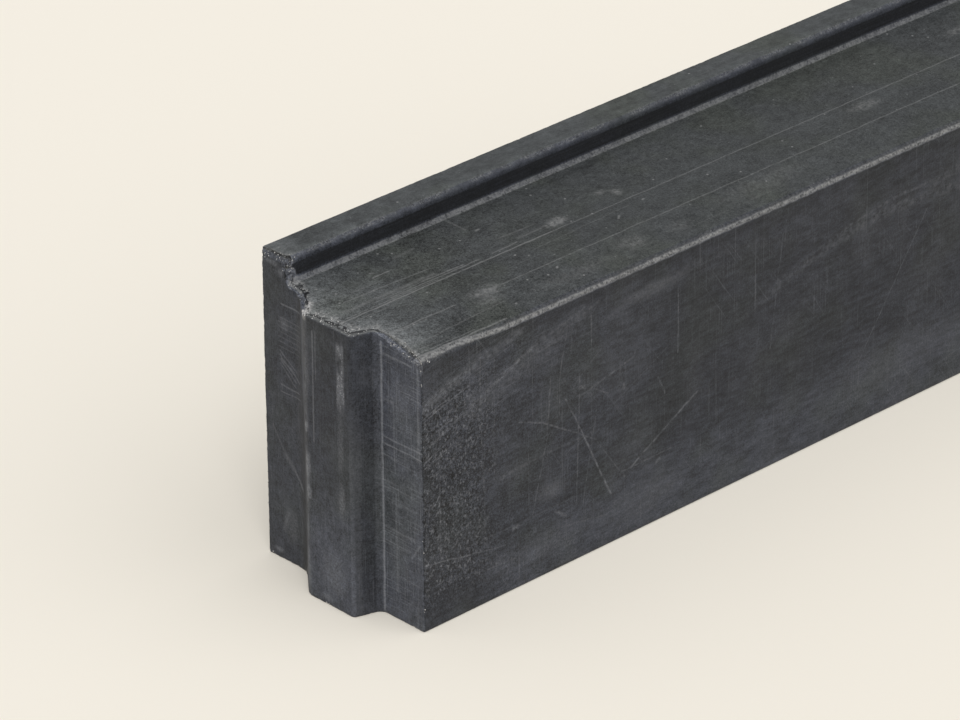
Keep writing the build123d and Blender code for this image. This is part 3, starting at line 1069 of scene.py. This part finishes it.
def sort_faces(mesh, s):
    """Gives each face the material of the side it belongs to."""
    count = len(mesh.polygons)
    middle, normal = np.empty(count * 3), np.empty(count * 3)
    mesh.polygons.foreach_get("center", middle)
    mesh.polygons.foreach_get("normal", normal)
    (x, y, z), (_, ny, nz) = middle.reshape(-1, 3).T, normal.reshape(-1, 3).T
    above = z > HIGH.z - s.step_height - s.tread_fall - s.bevel_fall
    past = (x < LOW.x + s.tongue_reach + FACE_SLACK) | (x > HIGH.x - FACE_SLACK)
    deep = x > HIGH.x - s.tongue_reach - s.joint_gap - 2 * FACE_SLACK
    pocket = deep & (np.abs(y) < POCKET_HALF) & (nz < 0.6) & ~above
    side_of = np.full(count, 3)
    side_of[(ny < -0.5) & ~above] = 0
    side_of[(past | pocket) & (nz > -0.6)] = 2
    side_of[(nz > 0.6) & above | above & ~past & (ny < 0.5)] = 1
    mesh.polygons.foreach_set("material_index", side_of.astype(np.int32))


CRUMB_BAND = 0.045  # how far from the end of the tongue crumbs lie
CRUMB_WEAR, HEAP_WEAR = 0.4, 0.1  # least wear under a crumb, in millimetres
FULL_TURN = 6.3
TO_SQUARE_METRE = 1e4  # from a number to a square centimetre


def crumb_tree():
    """Node tree: small crumbs on the broken faces of a casting, thickest around one place."""
    takes = {
        "Geometry": "Geometry", "Density": "Float", "Heap density": "Float", "Size": "Float",
        "Heap radius": "Float", "Heap": "Vector", "Seed": "Int", "Material": "Material",
    }
    r, given, result = node_group("crumbs", "GeometryNodeTree", takes, {"Geometry": "Geometry"})
    where = r.node("GeometryNodeInputPosition")
    away = r.vector("DISTANCE", where, given["Heap"], output="Value")
    heap = r.blend_to(away, given["Heap radius"])
    wear = r.node("GeometryNodeInputNamedAttribute", {"Name": "end_break"}, data_type="FLOAT")
    at_end = r.math("LESS_THAN", r.node("ShaderNodeSeparateXYZ", {0: where}), LOW.x + CRUMB_BAND)
    thin = r.times(r.math("GREATER_THAN", wear, CRUMB_WEAR), at_end, given["Density"])
    thick = r.times(heap, r.math("GREATER_THAN", wear, HEAP_WEAR), given["Heap density"])
    density = r.add(thin, thick)
    inputs = {"Mesh": given["Geometry"], "Density": density, "Seed": given["Seed"]}
    scatter = "GeometryNodeDistributePointsOnFaces"
    spots = r.node(scatter, inputs, output="Points", distribute_method="RANDOM")
    crumb = r.node("GeometryNodeMeshIcoSphere", {"Radius": 0.5, "Subdivisions": 1}, output="Mesh")
    inputs = {"Min": (0, 0, 0), "Max": [FULL_TURN] * 3, "Seed": 3}
    turn = r.node("FunctionNodeRandomValue", inputs, data_type="FLOAT_VECTOR")
    inputs = {"Min": (0.35, 0.35, 0.35), "Max": (1, 1, 1), "Seed": 5}
    spread_of = r.node("FunctionNodeRandomValue", inputs, data_type="FLOAT_VECTOR")
    scale = r.scaled(spread_of, given["Size"])
    turn = r.node("FunctionNodeEulerToRotation", {"Euler": turn})
    inputs = {"Points": spots, "Instance": crumb, "Rotation": turn, "Scale": scale}
    placed = r.node("GeometryNodeInstanceOnPoints", inputs)
    solid = r.node("GeometryNodeRealizeInstances", {"Geometry": placed})
    painted = r.node("GeometryNodeSetMaterial", {"Geometry": solid, "Material": given["Material"]})
    r.tree.links.new(painted, result["Geometry"])
    return r.tree


def crumb_material(finish):
    """Pale broken concrete."""
    mat, inputs = new_material("broken_concrete", roughness=0.9, shine=0.1)
    r = Recipe(mat.node_tree)
    point = r.node("ShaderNodeTexCoord", output="Object")
    pale = r.blend(r.noise(point, 2.5, 1, 3.0), -0.4, 0.4)
    toned = r.mix(pale, (*finish.scuff, 1), (*finish.dust, 1))
    mat.node_tree.links.new(toned, inputs["Base Color"])
    return mat


class KERB_OT_casting(bpy.types.Operator):
    """Builds the casting with its worn arrises"""

    bl_idname = "kerb.casting"
    bl_label = "Casting"

    def execute(self, context):
        scene = context.scene
        mesh = casting_mesh(scene.kerb_shape, scene.kerb_wear)
        note_wear(mesh, scene.kerb_shape, scene.kerb_wear)
        mesh.name = "kerb_casting"
        mesh.materials.clear()
        for name, marks in SIDES.items():
            mesh.materials.append(concrete_material(f"concrete_{name}", scene.kerb_finish, marks))
        sort_faces(mesh, scene.kerb_shape)
        mesh.shade_smooth()
        casting = add_object("kerb_casting", mesh)
        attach(casting, "root")
        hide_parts("kerb_stone")
        return {"FINISHED"}


class KERB_OT_crumbs(bpy.types.Operator):
    """Scatters crumbs over the broken arris of the tongue end"""

    bl_idname = "kerb.crumbs"
    bl_label = "Crumbs"

    def execute(self, context):
        scene = context.scene
        wear = scene.kerb_wear
        carrier = add_object("crumb_carrier", bpy.data.objects["kerb_casting"].data.copy())
        tree = crumb_tree()
        values = {
            "Density": wear.crumb_density * TO_SQUARE_METRE,
            "Heap density": wear.heap_density * TO_SQUARE_METRE,
            "Size": wear.crumb_size,
            "Heap radius": wear.heap_radius,
            "Heap": Vector(WHITE_CRUMBS) * MM,
            "Seed": wear.seed,
            "Material": crumb_material(scene.kerb_finish),
        }
        modifier = carrier.modifiers.new("crumbs", "NODES")
        modifier.node_group = tree
        for item in tree.interface.items_tree:
            if item.in_out == "INPUT" and item.name in values:
                modifier[item.identifier] = values[item.name]
        mesh = evaluated(carrier)
        bpy.data.objects.remove(carrier)
        mesh.name = "arris_crumbs"
        points = get_points(mesh)
        set_points(mesh, np.clip(points, np.array(LOW), np.array(HIGH)))
        crumbs = add_object("arris_crumbs", mesh)
        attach(crumbs, "root")
        return {"FINISHED"}


# Stage


CAMERA_PLACE = Vector((-3.4264, -3.2579, 2.5119))
CAMERA_AZIMUTH, CAMERA_ELEVATION, CAMERA_ROLL = -43.48, 27.57, -0.47
FOCAL_PIXELS, PHOTO_WIDTH = 5803.7, 960
FLOOR_RADIUS, SKY_STRENGTH = 40, 0.5


def towards(azimuth, elevation):
    """A unit direction; azimuth 0 is the front, 90 the right."""
    a, e = math.radians(azimuth), math.radians(elevation)
    return Vector((math.sin(a) * math.cos(e), -math.cos(a) * math.cos(e), math.sin(e)))


def sun(name, azimuth, elevation, strength, angle):
    """A soft distant white lamp, shining from this direction."""
    lamp = bpy.data.lights.new(name, "SUN")
    lamp.energy, lamp.angle = strength, math.radians(angle)
    obj = add_object(name, lamp)
    obj.rotation_mode = "QUATERNION"
    obj.rotation_quaternion = towards(azimuth, elevation).to_track_quat("Z", "Y")


class KERB_OT_stage(bpy.types.Operator):
    """Adds the floor, the lamps and the camera"""

    bl_idname = "kerb.stage"
    bl_label = "Stage"

    def execute(self, context):
        scene = context.scene
        mesh = bpy.data.meshes.new("floor")
        bm = bmesh.new()
        bmesh.ops.create_circle(bm, cap_ends=True, segments=64, radius=FLOOR_RADIUS)
        bm.to_mesh(mesh)
        bm.free()
        mat, inputs = new_material("pale_floor", roughness=1.0, shine=0.0)
        inputs["Base Color"].default_value = (*scene.kerb_stage.backdrop, 1)
        mesh.materials.append(mat)
        floor = add_object("floor", mesh)

        world = bpy.data.worlds.new("soft_sky")
        scene.world = world
        world.use_nodes = True
        sky = world.node_tree.nodes["Background"].inputs
        sky["Color"].default_value = (1, 1, 1, 1)
        sky["Strength"].default_value = SKY_STRENGTH
        sun("key", azimuth=-55, elevation=52, strength=1.5, angle=40)
        sun("fill", azimuth=25, elevation=45, strength=0.5, angle=60)

        lens = bpy.data.cameras.new("camera")
        lens.sensor_width = 36
        lens.lens = FOCAL_PIXELS / PHOTO_WIDTH * lens.sensor_width
        camera = add_object("camera", lens)
        camera.location = CAMERA_PLACE
        back = towards(CAMERA_AZIMUTH, CAMERA_ELEVATION)
        turn = (-back).to_track_quat("-Z", "Y") @ Quaternion((0, 0, 1), math.radians(CAMERA_ROLL))
        camera.rotation_mode = "QUATERNION"
        camera.rotation_quaternion = turn
        lens.clip_start, lens.clip_end = 0.1, 200
        scene.camera = camera
        scene.view_settings.view_transform = "Standard"
        return {"FINISHED"}


class KERB_PT_panel(bpy.types.Panel):
    """Lists the kerb's operators and sizes"""

    bl_idname = "KERB_PT_panel"
    bl_label = "Kerb stone"
    bl_space_type = "VIEW_3D"
    bl_region_type = "UI"
    bl_category = "Kerb"

    def draw(self, context):
        for operator in OPERATORS:
            self.layout.operator(operator.bl_idname)
        for name in SETTINGS:
            group = getattr(context.scene, name)
            for key in group.__annotations__:
                self.layout.prop(group, key)


OPERATORS = (KERB_OT_casting, KERB_OT_crumbs, KERB_OT_stage)
SETTINGS = {
    "kerb_shape": KerbShape, "kerb_wear": KerbWear, "kerb_finish": KerbFinish, "kerb_stage": KerbStage,
}


def register():
    for group in SETTINGS.values():
        bpy.utils.register_class(group)
    for name, group in SETTINGS.items():
        setattr(bpy.types.Scene, name, PointerProperty(type=group))
    for cls in (*OPERATORS, KERB_PT_panel):
        bpy.utils.register_class(cls)


def unregister():
    for cls in (KERB_PT_panel, *reversed(OPERATORS)):
        bpy.utils.unregister_class(cls)
    for name, group in SETTINGS.items():
        delattr(bpy.types.Scene, name)
        bpy.utils.unregister_class(group)


def main():
    register()
    bpy.ops.kerb.casting()
    bpy.ops.kerb.crumbs()
    bpy.ops.kerb.stage()


if __name__ == "__main__":
    main()
